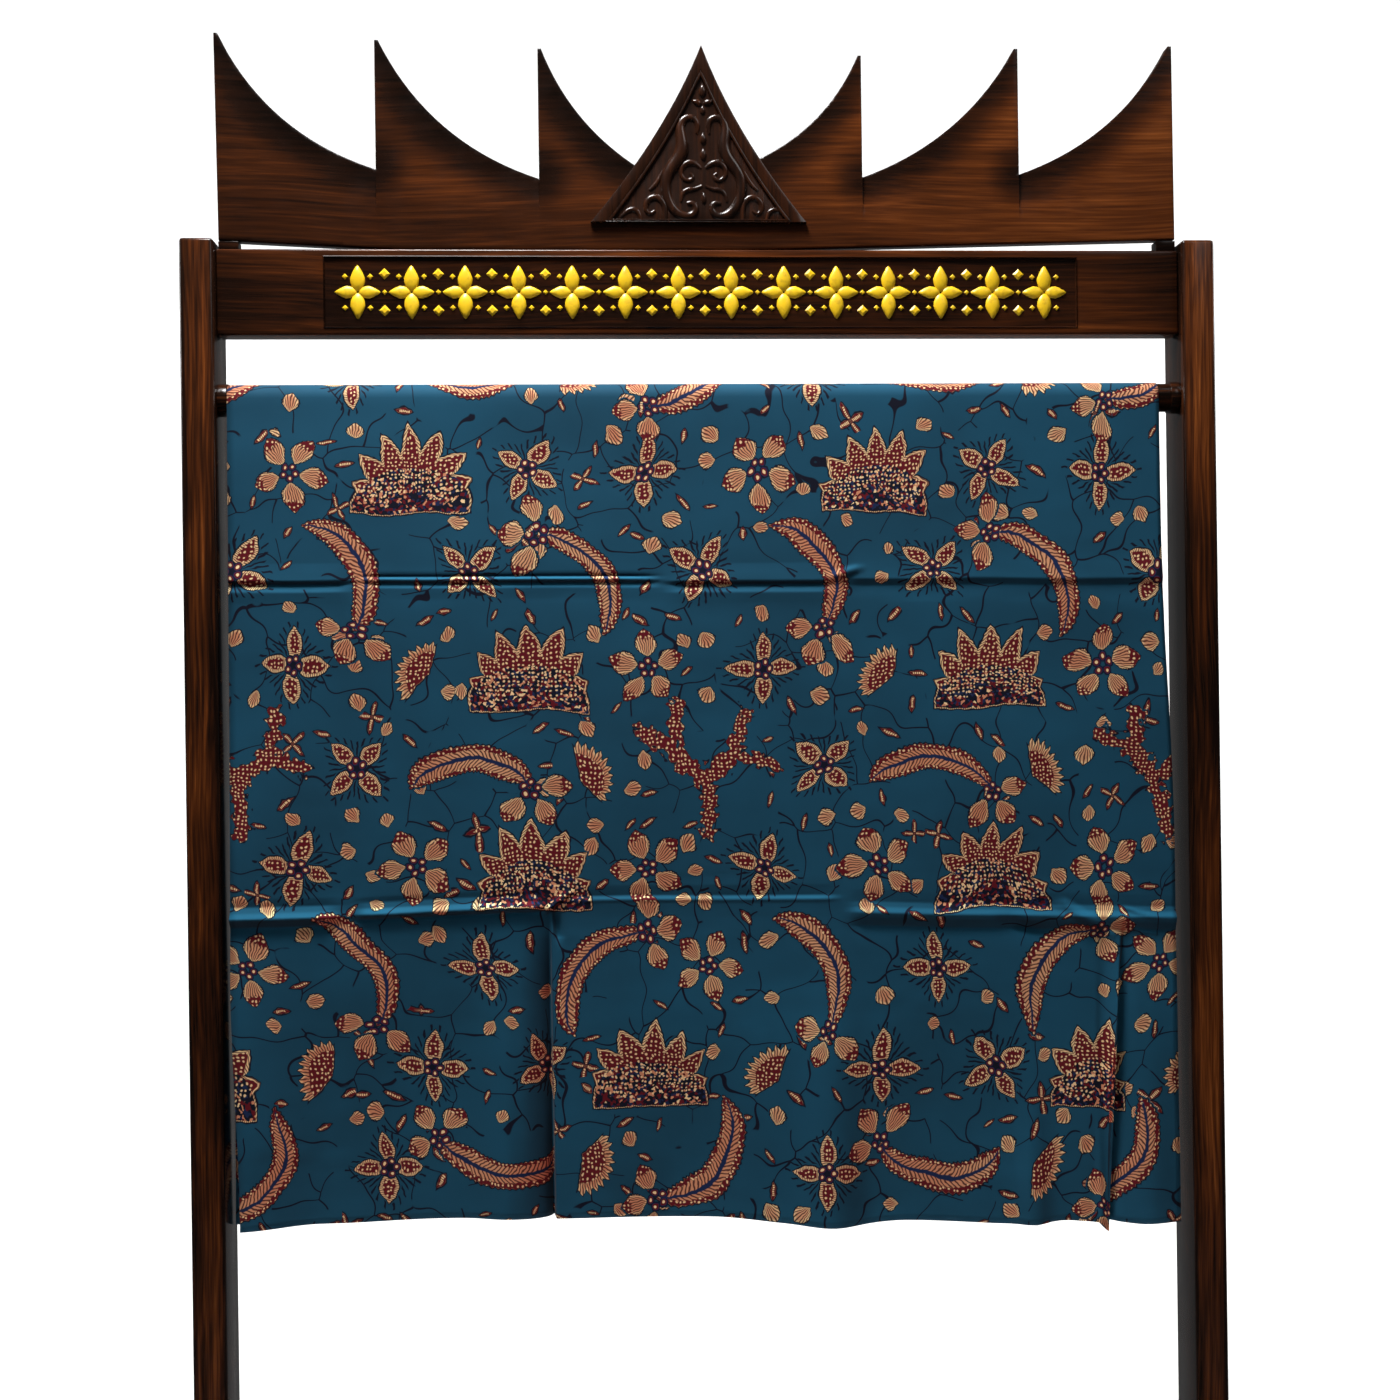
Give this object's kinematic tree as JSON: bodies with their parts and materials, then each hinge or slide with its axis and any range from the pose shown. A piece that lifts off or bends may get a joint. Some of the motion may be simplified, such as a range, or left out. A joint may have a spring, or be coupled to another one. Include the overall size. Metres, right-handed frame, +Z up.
{
  "type": "batik cloth on a display rack",
  "caption": "Wax-dyed blue cotton cloth hung over the rod of a free-standing dark wooden rack with a horned crown board, a sunk panel rail and sled feet.",
  "frame": {"origin": "on the floor, under the middle of the rack's two feet", "axes": "+Z up, +X across the rack to the right as seen from its front, -Y out of the front of the cloth"},
  "size_m": [1.18, 0.48, 1.782],
  "materials": {
    "stained_wood": "dark walnut stain under glossy varnish",
    "dark_wood": "near-black stain under glossy varnish",
    "dyed_cotton": "wax-resist dyed plain weave, faint sheen"
  },
  "bodies": {
    "root": {"batik_cloth": "dyed_cotton", "cloth_rod": "dark_wood", "crown_block_left": "dark_wood", "crown_block_right": "dark_wood", "crown_board": "stained_wood", "crown_gable": "dark_wood", "foot_left": "stained_wood", "foot_right": "stained_wood", "post_left": "stained_wood", "post_right": "stained_wood", "stretcher": "stained_wood", "top_rail": "stained_wood"}
  },
  "joints": []
}
